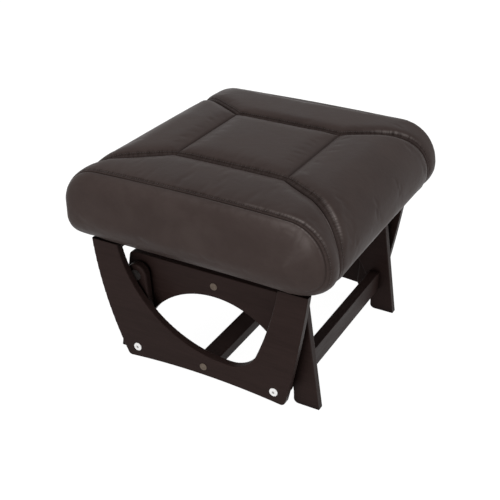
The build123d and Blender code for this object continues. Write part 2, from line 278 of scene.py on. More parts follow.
def stainedWood(name, along):
    material, tree, shader, place = newMaterial(name)
    squeeze = [1.0, 1.0, 1.0]
    squeeze[along] = stain["stretch"]
    grain = placeGroup(tree, grainGroup, Position=place, Along=squeeze,
                       Dark=stain["dark"], Light=stain["light"])
    edge = placeGroup(tree, edgeGroup, Position=place, Width=stain["edge"])
    rubAndHighlight = times(tree, edge["Mask"], stain["rubAndHighlight"])
    # painted shade: the colour goes towards the deep colour where parts stand close together
    contactShade = times(tree, edge["Contact Shade"], stain["contactShadeShare"])
    colour = mixColour(tree, contactShade, mixColour(tree, rubAndHighlight, grain["Colour"], stain["rubbedAndHighlit"]), stain["deep"])
    relief = minus(tree, grain["Fibre"], times(tree, grain["Pores"], stain["poreDepth"]))
    dress(tree, shader, colour, ramp(tree, grain["Fibre"], 0.3, 0.7, *stain["roughness"]),
          bump(tree, relief, stain["relief"], 0.6, edge["Soft Normal"]))
    shader.inputs["Specular IOR Level"].default_value = stain["gloss"]
    return material


bareWood = {"stretch": 0.1, "glue": 0.45, "roughness": (0.5, 0.68), "relief": 0.0002, "gloss": 0.3}


def plainWood(name, dark, light, along, layers=0.0):
    # bare beech, or birch ply with its glue lines where layers is a thickness
    material, tree, shader, place = newMaterial(name)
    squeeze = [1.0, 1.0, 1.0]
    squeeze[along] = bareWood["stretch"]
    grain = placeGroup(tree, grainGroup, Position=place, Along=squeeze, Dark=dark, Light=light)
    colour = grain["Colour"]
    if layers:
        glue = calc(tree, "PINGPONG", splitAxes(tree, place)["Z"], layers)
        colour = mixColour(tree, ramp(tree, glue, 0.0, layers * 0.4, bareWood["glue"], 0.0), colour, dark)
    dress(tree, shader, colour, ramp(tree, grain["Fibre"], 0.3, 0.7, *bareWood["roughness"]),
          bump(tree, grain["Fibre"], bareWood["relief"], 0.5))
    shader.inputs["Specular IOR Level"].default_value = bareWood["gloss"]
    return material


metalSkin = {"clouds": 260, "grain": 2400, "edge": 0.0006, "relief": 0.00003}


def metal(name, colour, tarnish, roughness, shine):
    material, tree, shader, place = newMaterial(name)
    cloudy = noise(tree, place, metalSkin["clouds"], detail=4, roughness=0.6)
    fine = noise(tree, place, metalSkin["grain"], detail=2)
    edge = placeGroup(tree, edgeGroup, Position=place, Width=metalSkin["edge"])
    dress(tree, shader, mixColour(tree, ramp(tree, cloudy, 0.4, 0.7), colour, tarnish),
          ramp(tree, cloudy, 0.3, 0.7, *roughness),
          bump(tree, fine, metalSkin["relief"], 0.5, edge["Soft Normal"]))
    shader.inputs["Metallic"].default_value = shine
    return material


plasticSkin = {"clouds": 120, "grain": 1800, "edge": 0.0008, "relief": 0.00004}


def plastic(name, colour, shade, roughness):
    material, tree, shader, place = newMaterial(name)
    cloudy = noise(tree, place, plasticSkin["clouds"], detail=3)
    fine = noise(tree, place, plasticSkin["grain"], detail=3)
    edge = placeGroup(tree, edgeGroup, Position=place, Width=plasticSkin["edge"])
    dress(tree, shader, mixColour(tree, ramp(tree, cloudy, 0.35, 0.7), colour, shade),
          ramp(tree, fine, 0.3, 0.7, *roughness),
          bump(tree, fine, plasticSkin["relief"], 0.5, edge["Soft Normal"]))
    return material


leather = {
    "colour": (0.0425, 0.0300, 0.0272, 1),
    "worn": (0.0530, 0.0388, 0.0352, 1),
    # the colour of painted shade in the sewn creases and gathered strips
    "crease": (0.0130, 0.0074, 0.0060, 1),
    # the colour of painted highlights on crests
    "rubbedAndHighlit": (0.190, 0.163, 0.154, 1),
    "gloss": 0.05,
    "roughness": (0.38, 0.5), "creaseRoughness": 0.2,
    # heights of the relief
    "creaseDepth": 0.0012, "pucker": 0.0016, "wrinkle": 0.0012, "pebble": 0.00007,
    "ledge": 0.0075,  # from a sewn row to its second line
    "stripWide": (0.018, 0.026),  # where the gathered strip beside a row fades out
    # the shares of the plain sides' and second lines' creases, and how strongly painted shade darkens the
    # creases
    "sideShare": 0.6, "secondShare": 0.5, "paintedShade": 0.95,
    "ticks": 230, "tickStretch": 0.12,
}


def leatherMaterial():
    material, tree, shader, place = newMaterial("brownLeather")
    grain = placeGroup(tree, leatherGroup, Position=place)
    read = {name: addNode(tree, "ShaderNodeAttribute", attribute_name=name).outputs["Fac"]
            for name in ("rowLine", "rowGap", "sideGap", "endGap", "seamRun", "seamFade",
                         "crestHighlight", "edgeWearAndPaintedLight")}
    beside = ramp(tree, read["rowGap"], *leather["stripWide"], 1.0, 0.0)
    seams = {}
    for name, distance in (("row", read["rowGap"]), ("side", read["sideGap"]), ("end", read["endGap"]),
                           ("second", minus(tree, read["rowLine"], leather["ledge"]))):
        seams[name] = placeGroup(tree, seamGroup, Distance=distance)
    side = times(tree, seams["side"]["Line"], leather["sideShare"])
    second = times(tree, beside, leather["secondShare"])
    second = times(tree, seams["second"]["Line"], second)
    line = larger(tree, larger(tree, seams["row"]["Line"], side), second)
    line = larger(tree, line, seams["end"]["Line"])
    line = times(tree, line, read["seamFade"])
    strip = times(tree, beside, read["seamFade"])
    strip = times(tree, seams["second"]["Strip"], strip)
    # gathers: ticks along the seam, drawn out across it
    across = addNode(tree, "ShaderNodeCombineXYZ")
    wire(tree, read["seamRun"], across.inputs["X"])
    wire(tree, times(tree, read["rowLine"], leather["tickStretch"]), across.inputs["Y"])
    ticks = noise(tree, across.outputs[0], leather["ticks"], detail=2, roughness=0.6)
    gather = times(tree, minus(tree, ticks, 0.5), strip)
    tone = mixColour(tree, ramp(tree, grain["Tone"], 0.35, 0.7), leather["colour"], leather["worn"])
    # painted shade in the gathered strip behind a row, broken up by its ticks, and along the sewn creases
    shade = times(tree, strip, ramp(tree, ticks, 0.35, 0.62, 0.75, 0.2))
    paintedShade = larger(tree, times(tree, line, leather["paintedShade"]), shade)
    tone = mixColour(tree, paintedShade, tone, leather["crease"])
    # painted highlights on crests beside the seams, broken up by the gathers' ticks, and a broad painted
    # highlight on the end's edge
    rubAndHighlight = times(tree, read["crestHighlight"], ramp(tree, ticks, 0.3, 0.62, 0.25, 1.0))
    broad = times(tree, read["edgeWearAndPaintedLight"], ramp(tree, grain["Wrinkle"], 0.3, 0.65, 0.35, 1.0))
    rubAndHighlight = larger(tree, rubAndHighlight, broad)
    rough = ramp(tree, grain["Tone"], 0.3, 0.7, *leather["roughness"])
    rough = calc(tree, "ADD", rough, times(tree, line, leather["creaseRoughness"]))
    shader.inputs["Specular IOR Level"].default_value = leather["gloss"]
    normal = bump(tree, times(tree, line, -1.0), leather["creaseDepth"])
    normal = bump(tree, gather, leather["pucker"], 1.0, normal)
    normal = bump(tree, grain["Wrinkle"], leather["wrinkle"], 0.35, normal)
    normal = bump(tree, grain["Height"], leather["pebble"], 1.0, normal)
    dress(tree, shader, mixColour(tree, rubAndHighlight, tone, leather["rubbedAndHighlit"]), rough, normal)
    return material


foamLook = {"pale": (0.78, 0.70, 0.48, 1), "deep": (0.70, 0.60, 0.38, 1), "cells": 900, "relief": 0.0006}


def foamMaterial():
    material, tree, shader, place = newMaterial("seatFoam")
    cells = addNode(tree, "ShaderNodeTexVoronoi")
    wire(tree, place, cells.inputs["Vector"])
    cells.inputs["Scale"].default_value = foamLook["cells"]
    tone = noise(tree, place, 14)
    dress(tree, shader, mixColour(tree, tone, foamLook["pale"], foamLook["deep"]),
          ramp(tree, tone, 0.3, 0.7, 0.85, 0.95), bump(tree, cells.outputs["Distance"], foamLook["relief"]))
    return material


dustLook = {
    "dark": (0.006, 0.006, 0.006, 1), "light": (0.022, 0.021, 0.02, 1),
    "dots": 520, "fibres": 900, "fibreShare": 0.6, "relief": 0.0004,
}


def clothMaterial():
    # black spun dust cloth, with the dimples of its bonding rollers
    material, tree, shader, place = newMaterial("dustCloth")
    dots = addNode(tree, "ShaderNodeTexVoronoi", feature="F1")
    dots.inputs["Scale"].default_value = dustLook["dots"]
    dots.inputs["Randomness"].default_value = 0.15
    wire(tree, place, dots.inputs["Vector"])
    fibres = noise(tree, place, dustLook["fibres"], detail=4, roughness=0.7, distortion=1.5)
    dimple = ramp(tree, dots.outputs["Distance"], 0.2, 0.34)
    share = dustLook["fibreShare"]
    lightness = calc(tree, "ADD", times(tree, fibres, share), times(tree, dimple, 1 - share))
    dress(tree, shader, mixColour(tree, lightness, dustLook["dark"], dustLook["light"]),
          ramp(tree, fibres, 0.3, 0.7, 0.75, 0.92), bump(tree, lightness, dustLook["relief"], 0.7))
    return material


capDimple = {
    "middle": 0.010, "out": 0.147, "up": 0.045,  # the frame's centre, and the caps from it and the floor
    # the dimple's radius and depth, and the grey of the painted shade in it
    "radius": 0.0028, "depth": 0.0004, "shade": (0.36, 0.35, 0.34, 1),
}


def markCaps(material):
    # painted shade in the dimple in the middle of each white cap, and the dimple's hollow as a bump
    tree = material.node_tree
    shader = tree.nodes["Principled BSDF"]
    place = splitAxes(tree, addNode(tree, "ShaderNodeTexCoord").outputs["Object"])
    away = calc(tree, "ABSOLUTE", minus(tree, place["X"], capDimple["middle"]))
    away = minus(tree, away, capDimple["out"])
    up = minus(tree, place["Z"], capDimple["up"])
    reach = calc(tree, "ADD", times(tree, away, away), times(tree, up, up))
    mask = ramp(tree, calc(tree, "SQRT", reach), capDimple["radius"] * 0.7, capDimple["radius"], 1.0, 0.0)
    plain = shader.inputs["Base Color"].links[0].from_socket
    wire(tree, mixColour(tree, mask, plain, capDimple["shade"]), shader.inputs["Base Color"])
    flat = shader.inputs["Normal"].links[0].from_socket
    sunk = times(tree, mask, -1.0)
    wire(tree, bump(tree, sunk, capDimple["depth"], 1.0, flat), shader.inputs["Normal"])


# colour, its darker patches, lowest and highest roughness, and how metallic
metals = {
    "zincSteel": ((0.62, 0.62, 0.60, 1), (0.46, 0.46, 0.44, 1), (0.28, 0.42), 1.0),
    "bronzeCap": ((0.115, 0.085, 0.062, 1), (0.085, 0.062, 0.045, 1), (0.45, 0.6), 0.35),
    "blackenedSteel": ((0.020, 0.016, 0.015, 1), (0.013, 0.010, 0.009, 1), (0.45, 0.6), 0.3),
}
plastics = {
    "whiteCap": ((0.95, 0.94, 0.93, 1), (0.90, 0.89, 0.88, 1), (0.32, 0.42)),
    "nylonBush": ((0.022, 0.018, 0.017, 1), (0.016, 0.013, 0.012, 1), (0.45, 0.55)),
    "sewingThread": ((0.050, 0.038, 0.034, 1), (0.032, 0.023, 0.020, 1), (0.5, 0.65)),
}
woodX = stainedWood("stainedWoodLengthwise", 0)
woodY = stainedWood("stainedWoodCrosswise", 1)
woodZ = stainedWood("stainedWoodUpright", 2)
beech = plainWood("dowelBeech", (0.36, 0.22, 0.12, 1), (0.55, 0.38, 0.23, 1), 1)
ply = plainWood("birchPly", (0.34, 0.22, 0.13, 1), (0.62, 0.47, 0.31, 1), 0, layers=0.0015)
steel, bronze, blackened = (metal(name, *look) for name, look in metals.items())
white, nylon, thread = (plastic(name, *look) for name, look in plastics.items())
markCaps(white)
hide = leatherMaterial()
foam = foamMaterial()
dustCloth = clothMaterial()

finishes = {
    "base_side": woodX, "base_top_rail": woodY, "base_stretcher": woodY, "stretcher_dowels": beech,
    "base_rail_screws": steel, "base_rail_caps": bronze, "upper_pivot_barrels": blackened,
    "upper_pivot_washers": blackened, "upper_pivot_screws": steel, "link_": woodZ,
    "right_upper_bushes": nylon, "right_lower_bushes": nylon, "left_upper_bushes": nylon,
    "left_lower_bushes": nylon, "seat_side": woodX, "seat_low_rail": woodY, "seat_rail_screws": steel,
    "seat_rail_caps": bronze, "lower_pivot_barrels": blackened, "lower_pivot_washers": blackened,
    "lower_pivot_screws": steel, "pivot_caps": white, "seat_bearer": woodY, "bearer_dowels": beech,
    "cushion_screws": steel, "cushion_board": ply, "cushion_foam": foam, "cushion_cover": hide,
    "dust_cover": dustCloth,
}


def finishNode(name, part):
    finish = next(finish for start, finish in finishes.items() if name.startswith(start))
    if not part.material_slots:
        part.data.materials.append(finish)
    for slot in part.material_slots:
        slot.material = finish


for name, part in nodes.items():
    finishNode(name, part)
print("finishes set")


# cushion

cushion = {
    "middle": (-0.0009, 0.0022),
    "halfX": 0.2672, "halfY": 0.2691, "low": 0.2599, "high": 0.4117, "crown": 0.0029, "sag": 0.002,
    # radii of the section's upper and lower corners, at the near and the far end
    "shoulder": {"left": (0.073, 0.084), "right": (0.088, 0.084)}, "shoulderMost": 0.6,
    "foot": {"left": (0.022, 0.070), "right": (0.056, 0.070)}, "footMost": 0.95,
    "footReach": {"left": 1.0, "right": 1.5}, "footGives": 0.4,
    # shares of a half section that its top, shoulder, side and foot end at
    "turns": (0.25, 0.5, 0.55, 0.77),
    # radii that the two ends are rounded with, and how much of the lower one the far end has
    "endSide": 0.030, "endTop": 0.024, "endBottom": 0.057, "farBottom": 0.86,
    "lean": {"left": 0.0028, "right": 0.0080}, "leanRise": 6,
    "around": 48, "rings": 41, "endRings": 18, "voxel": 0.005,
    "wrap": 0.080,  # the radius of the shoulders that distances round the section are taken on
    # how far the cover swells, and how wide and how much it is rolled down beside a seam
    "fullness": 0.005, "roll": 0.016, "endRoll": 0.3, "sideRoll": 1.6,
    "steps": 18, "mostMove": 0.0035, "foamBack": 0.85,
    # how near its seams the cover is pinned, in how many levels, and where it faces down enough to lie flat
    "pinShare": 1.6, "pinReach": 0.0035, "pinFade": 4, "pinLevels": 20, "flatFrom": 0.8, "flatOver": 0.15,
    # where the near end and the far end begin
    "endZone": -0.225, "farZone": 0.2, "farReach": 0.04, "narrowRows": 1.3,
    # how deep the seams are, by the distance round the section
    "fade": ((0.20, 0.30, 0.36, 0.40), (1.0, 0.5, 0.2, 0.0)),
    "stripFade": ((-0.130, -0.108, 0.20, 0.29), (0.2, 1.0, 1.0, 0.3)),
    "seamDepth": 0.0046, "crease": 0.0024, "skirt": 0.015, "skirtShare": 0.5,
    "sideCrease": 0.003, "sideShare": 0.55, "endShare": 0.4,
    "ledge": 0.0075, "ledgeEnd": 1.9, "ledgeDrop": 0.0015, "ledgeEdge": 0.0012,
    "second": 0.0016, "secondShare": 0.3,
    "welt": ((0.5, 0.0022), (0.2, 0.012)),
    # where gathers and painted crest highlights lie beside a row, behind it if above zero, and how wide they
    # are
    "gatherBehind": (0.009, 0.006), "gatherBefore": (-0.005, 0.003), "gatherShare": 0.4, "pucker": 0.0005,
    "crest": (-0.0045, 0.0016), "outerCrest": (0.01275, 0.003), "broadCrest": (-0.013, 0.008),
    "outerRun": ((0.02, 0.12), (0.0, 1.0)),
    "broadRun": ((-0.10, 0.16, 0.22, 0.27), (0.05, 0.2, 0.5, 0.0)),
    "fineBand": (-0.010, 0.019), "fineSide": 0.006,
    "boardHalf": (0.207, 0.236), "boardSlope": (0.6, 1.5), "boardLow": 0.2603, "boardTurn": 0.006,
    "foamGap": 0.003, "foamSeam": (1.9, 0.02),  # the foam's own furrows: share of the depth, and width
    # places on the seams where highlights are painted: round the section, along Y, reach and strength
    "highlightSpots": ((0.247, -0.188, 0.024, 0.9), (0.222, -0.165, 0.030, 0.35), (0.205, 0.178, 0.040, 0.9),
             (0.215, -0.247, 0.040, 0.75), (0.120, -0.247, 0.090, 0.25), (-0.150, -0.125, 0.060, 0.3),
             (0.0, -0.115, 0.090, 0.15)),
}
coverCloth = {
    "quality": 4, "mass": 0.25,
    "tension_stiffness": 12, "compression_stiffness": 12, "shear_stiffness": 4, "bending_stiffness": 0.8,
    "use_pressure": True, "uniform_pressure_force": 4.0,
    "shrink_min": -0.006, "vertex_group_mass": "sewn", "pin_stiffness": 4,
}
# sewn rows from the left side over the top to the right side, as distance round the section
# from the top's middle and distance along Y
patchCorners = {"left": (-0.114, -0.113, 0.1175), "right": (0.112, -0.115, 0.1165)}
nearFlares = ([(-0.411, -0.214), (-0.326, -0.212), (-0.285, -0.206), (-0.245, -0.194), (-0.206, -0.174),
               (-0.165, -0.148), (-0.135, -0.127), (-0.114, -0.113)],
              [(0.112, -0.115), (0.140, -0.132), (0.180, -0.154), (0.221, -0.178), (0.258, -0.197),
               (0.288, -0.208), (0.326, -0.214), (0.411, -0.216)])
farFlares = ([(-0.411, 0.208), (-0.326, 0.206), (-0.277, 0.202), (-0.253, 0.196), (-0.223, 0.184),
              (-0.177, 0.157), (-0.114, 0.1175)],
             [(0.112, 0.1165), (0.177, 0.157), (0.223, 0.182), (0.253, 0.195), (0.277, 0.202),
              (0.326, 0.208), (0.411, 0.210)])
nearEnd = [(-0.420, -0.256), (-0.330, -0.2545), (-0.285, -0.252), (-0.240, -0.2485), (-0.190, -0.2475),
           (0.0, -0.2475), (0.170, -0.2490), (0.240, -0.2540), (0.285, -0.2570), (0.330, -0.2590),
           (0.420, -0.2605)]
farEnd = 0.2655
farAway = 9.0  # before a nearer seam is found


def roundedIn(past, radius):
    reached = np.clip(past, 0, radius)
    return radius - np.sqrt(radius ** 2 - reached ** 2)


def sectionSizes(y, size, shrink=0.0):
    # half width, lower and upper level of the section at a place along Y, and its side inset
    past = abs(y) - size["halfY"] + shrink
    sideIn, topIn, lowIn = (roundedIn(past + size[name] - shrink, size[name] - shrink)
                            for name in ("endSide", "endTop", "endBottom"))
    low = size["low"] + shrink + lowIn * (1.0 if y < 0 else size["farBottom"])
    edge = size["high"] - shrink - topIn - size["sag"] * (y / size["halfY"]) ** 2 - size["crown"]
    return size["halfX"] - shrink - sideIn, low, edge, sideIn


def sectionSide(name, y, size, shrink):
    # one half from the top's middle down to the underside's middle
    half, low, edge, sideIn = sectionSizes(y, size, shrink)
    shoulder, foot = (float(np.interp(y, [-size["halfY"], size["halfY"]], size[part][name])) - shrink
                      for part in ("shoulder", "foot"))
    shoulder = min(shoulder - sideIn, size["shoulderMost"] * (edge - low))
    foot = min(foot - size["footGives"] * sideIn, size["footMost"] * (edge - low - shoulder))
    footReach = foot * size["footReach"][name]
    top, turned, straight, under = size["turns"]
    side = []
    for t in (np.arange(size["around"]) + 0.5) / size["around"]:
        if t < top:
            x, z = (half - shoulder) * t / top, edge + size["crown"] * (1 - (t / top) ** 2)
        elif t < turned:
            angle = (t - top) / (turned - top) * math.pi / 2
            x, z = half - shoulder + shoulder * math.sin(angle), edge - shoulder + shoulder * math.cos(angle)
        elif t < straight:
            drop = (edge - shoulder - low - foot) * (t - turned) / (straight - turned)
            x, z = half, edge - shoulder - drop
        elif t < under:
            angle = (t - straight) / (under - straight) * math.pi / 2
            x, z = half - footReach + footReach * math.cos(angle), low + foot - foot * math.sin(angle)
        else:
            x, z = (half - footReach) * (1 - t) / (1 - under), low
        side.append((x, z))
    return side


def sectionRing(y, size, shrink=0.0):
    # down the right half and back up the left, which is squarer at the near end
    half, low, edge = sectionSizes(y, size, shrink)[:3]
    right, left = (sectionSide(name, y, size, shrink) for name in ("right", "left"))
    ring = right + [(-x, z) for x, z in reversed(left)]
    # the near end hangs lower on the right than on the left
    lean = float(np.clip(-y / size["halfY"], 0, 1)) ** size["leanRise"]
    middle = size["middle"]
    hung = []
    for x, z in ring:
        drop = lean * size["lean"]["right" if x > 0 else "left"] * x / half
        hung.append((middle[0] + x, middle[1] + y, z - drop * (edge - z) / (edge - low)))
    return hung


def blankCushion(size):
    # the stuffed form: sections along Y, closed by a fan at each end
    # before its panels are filled out, it is smaller by the fullness
    shrink = size["fullness"]
    rounded = size["endBottom"] - shrink
    flatEnd = size["halfY"] - size["endBottom"]
    places = list(np.linspace(-flatEnd, flatEnd, size["rings"]))
    turns = np.radians(np.linspace(0, 90, size["endRings"] + 1)[1:])
    ends = [flatEnd + rounded * math.sin(turn) for turn in turns]
    places = [-end for end in reversed(ends)] + places + ends
    mesh = bmesh.new()
    rings = [[mesh.verts.new(point) for point in sectionRing(y, size, shrink)] for y in places]
    count = len(rings[0])
    for first, second in zip(rings, rings[1:]):
        for k in range(count):
            mesh.faces.new((first[k], second[k], second[(k + 1) % count], first[(k + 1) % count]))
    for ring in (rings[0], rings[-1]):
        tip = mesh.verts.new(sum((vertex.co for vertex in ring), Vector()) / count)
        for k in range(count):
            mesh.faces.new((ring[k], ring[(k + 1) % count], tip))
    bmesh.ops.recalc_face_normals(mesh, faces=mesh.faces)
    data = bpy.data.meshes.new("cushionBlank")
    mesh.to_mesh(data)
    mesh.free()
    return newPiece("cushionBlank", data)


def applied(piece, name):
    # what a piece's modifiers make, as a mesh of its own
    bpy.context.view_layer.update()
    evaluated = piece.evaluated_get(bpy.context.evaluated_depsgraph_get())
    data = bpy.data.meshes.new_from_object(evaluated)
    data.name = name
    return data


def points(mesh):
    flat = np.empty(len(mesh.vertices) * 3)
    mesh.vertices.foreach_get("co", flat)
    return flat.reshape(-1, 3)


def normals(mesh):
    flat = np.empty(len(mesh.vertices) * 3)
    mesh.vertex_normals.foreach_get("vector", flat)
    return flat.reshape(-1, 3)


def setPoints(mesh, where):
    mesh.vertices.foreach_set("co", np.ascontiguousarray(where, dtype=np.float32).ravel())
    mesh.update()


def onCover(where, size):
    # each point's distance round the section and along Y
    x = where[:, 0] - size["middle"][0]
    y = where[:, 1] - size["middle"][1]
    z = where[:, 2]
    edge = size["high"] - size["crown"]
    shoulder = size["wrap"]
    level = edge - shoulder
    foot = level - size["low"]
    flat = size["halfX"] - shoulder
    away = np.abs(x)
    upper = np.arctan2(away - flat, np.maximum(z - level, 1e-6))
    lower = np.arctan2(np.maximum(level - z, 0), np.maximum(away - size["halfX"] + foot, 1e-6))
    turned = flat + shoulder * np.clip(upper, 0, math.pi / 2)
    below = flat + shoulder * math.pi / 2 + foot * lower
    under = flat + shoulder * math.pi / 2 + foot * math.pi / 2 + (size["halfX"] - foot - away)
    run = np.where(z >= level, np.where(away <= flat, away, turned), below)
    run = np.where((z < level) & (away < size["halfX"] - foot), under, run)
    return run * np.sign(x), y


def awayFromRing(where, ring):
    # distance to a closed line in space
    best = np.full(len(where), farAway)
    for first, second in zip(ring, ring[1:] + ring[:1]):
        first, second = np.array(first), np.array(second)
        step = second - first
        t = np.clip((where - first) @ step / (step @ step), 0, 1)
        best = np.minimum(best, np.linalg.norm(where - first - t[:, None] * step, axis=1))
    return best


def awayFromLine(run, along, line):
    # signed distance to a drawn line, positive on its far side, and how far along it that is
    best = np.full(len(run), farAway)
    sign = np.ones(len(run))
    travelled = np.zeros(len(run))
    start = 0.0
    for (x0, y0), (x1, y1) in zip(line, line[1:]):
        dx, dy = x1 - x0, y1 - y0
        length = math.hypot(dx, dy)
        t = np.clip(((run - x0) * dx + (along - y0) * dy) / length ** 2, 0, 1)
        gapX, gapY = run - x0 - t * dx, along - y0 - t * dy
        gap = np.hypot(gapX, gapY)
        nearer = gap < best
        best = np.where(nearer, gap, best)
        sign = np.where(nearer, np.where(dx * gapY - dy * gapX < 0, -1, 1), sign)
        travelled = np.where(nearer, start + t * length, travelled)
        start += length
    return best * sign, travelled


def smoothLine(line, steps=6):
    # a soft curve through the drawn points
    corners = [Vector((x, y)) for x, y in line]
    corners = [2 * corners[0] - corners[1]] + corners + [2 * corners[-1] - corners[-2]]
    curve = []
    for a, b, c, d in zip(corners, corners[1:], corners[2:], corners[3:]):
        for k in range(steps):
            t = k / steps
            curve.append(0.5 * (2 * b + (c - a) * t + (2 * a - 5 * b + 4 * c - d) * t ** 2
                                + (3 * b - a - 3 * c + d) * t ** 3))
    curve.append(corners[-2])
    return [(p.x, p.y) for p in curve]


sewnRows = {
    "near": smoothLine(nearFlares[0]) + smoothLine(nearFlares[1]),
    "far": smoothLine(farFlares[0]) + smoothLine(farFlares[1]),
    "end": smoothLine(nearEnd),
}
patchSides = [[(x, near), (x, far)] for x, near, far in patchCorners.values()]


def seamFields(where, size):
    # distances to the sewn rows, to the patch's plain sides and to the far end's seam
    run, along = onCover(where, size)
    row = np.full(len(run), farAway)
    travel = np.zeros(len(run))
    for place, line in enumerate(sewnRows.values()):
        gap, travelled = awayFromLine(run, along, line)
        gap *= 1.0 if place == 0 else size["narrowRows"]  # the far and the end rows are narrower
        nearer = np.abs(gap) < np.abs(row)
        row = np.where(nearer, gap, row)
        travel = np.where(nearer, travelled + 3.0 * place, travel)  # no row repeats another's gathers
    side = np.full(len(run), farAway)
    for line in patchSides:
        side = np.minimum(side, np.abs(awayFromLine(run, along, line)[0]))
    end = np.full(len(run), farAway)
    back = along > size["farZone"]
    end[back] = awayFromRing(where[back], sectionRing(farEnd, size))
    # the seams are deep on top, shallow on the sides and gone underneath
    fade = np.interp(np.abs(run), *size["fade"])
    return {"rowLine": row, "rowGap": np.abs(row), "sideGap": side, "endGap": end,
            "seamRun": travel, "seamFade": fade, "run": run, "along": along}


def ridge(distance, at, wide):
    # one at a place beside a seam, fading out on both sides
    return np.exp(-((distance - at) / wide) ** 2)


def nearestSeam(fields):
    return np.minimum(np.minimum(fields["rowGap"], fields["sideGap"]), fields["endGap"])


def swell(data, size):
    # the cover blown up between its seams, which stay where they are sewn
    rest = points(data)
    fields = seamFields(rest, size)
    held = np.clip(size["pinShare"] - nearestSeam(fields) / size["pinReach"], 0, 1)
    held *= np.clip(fields["seamFade"] * size["pinFade"], 0, 1)
    out = normals(data)
    flat = np.clip((-out[:, 2] - size["flatFrom"]) / size["flatOver"], 0, 1)
    held = np.maximum(held, flat)  # it lies flat on its bearers
    atEnd = (fields["along"] < size["endZone"]) | (fields["endGap"] < size["farReach"])
    sewn = np.minimum(fields["rowGap"], fields["sideGap"] * size["sideRoll"])
    rolled = ridge(sewn, 0, size["roll"]) * np.where(atEnd, size["endRoll"], 1.0)
    rolled = np.maximum(rolled, size["endRoll"] * ridge(fields["endGap"], 0, size["roll"]))
    puff = size["fullness"] * (1 - fields["seamFade"] * rolled)
    rest = rest + out * puff[:, None]
    setPoints(data, rest)
    out = normals(data)
    piece = newPiece("cushionCloth", data)
    pins = piece.vertex_groups.new(name="sewn")
    levels = np.round(held * size["pinLevels"]).astype(int)
    for level in range(1, size["pinLevels"] + 1):
        chosen = np.nonzero(levels == level)[0].tolist()
        if chosen:
            pins.add(chosen, level / size["pinLevels"], "REPLACE")
    cloth = piece.modifiers.new("cloth", "CLOTH")
    for name, value in coverCloth.items():
        setattr(cloth.settings, name, value)
    cloth.settings.effector_weights.gravity = 0
    cloth.point_cache.frame_start = 1
    cloth.point_cache.frame_end = size["steps"]
    for step in range(1, size["steps"] + 1):
        scene.frame_set(step)
    blown = applied(piece, "cushionBlown")
    move = points(blown) - rest
    # the foam keeps the cover from sinking in
    inwards = np.minimum((move * out).sum(axis=1), 0)
    move -= out * (size["foamBack"] * inwards)[:, None]
    length = np.linalg.norm(move, axis=1)
    print("cover moved", round(float(length.mean()) * 1000, 1), "mm on average, at most",
          round(float(length.max()) * 1000, 1))
    most = size["mostMove"]
    kept = most * np.tanh(length / most) / np.maximum(length, 1e-9)
    scene.frame_set(1)
    bpy.data.objects.remove(piece)
    bpy.data.meshes.remove(blown)
    setPoints(data, rest + move * kept[:, None])


def gathers(travel):
    # uneven waves along a seam, where the leather is drawn up
    return (0.55 * np.sin(travel * 1150 + 2.9 * np.sin(travel * 131) + 2.0 * np.sin(travel * 47))
            + 0.45 * np.sin(travel * 1730 + 3.1 * np.sin(travel * 83 + 1.0)))


def refineSeams(data, size):
    # smaller faces beside the sewn rows, for their creases and gathers
    fields = seamFields(points(data), size)
    low, high = size["fineBand"]
    fine = (fields["rowLine"] > low) & (fields["rowLine"] < high) | (fields["sideGap"] < size["fineSide"])
    fine &= fields["seamFade"] > 0.01
    mesh = bmesh.new()
    mesh.from_mesh(data)
    edges = [edge for edge in mesh.edges if fine[edge.verts[0].index] and fine[edge.verts[1].index]]
    bmesh.ops.subdivide_edges(mesh, edges=edges, cuts=1, use_grid_fill=True)
    mesh.to_mesh(data)
    mesh.free()


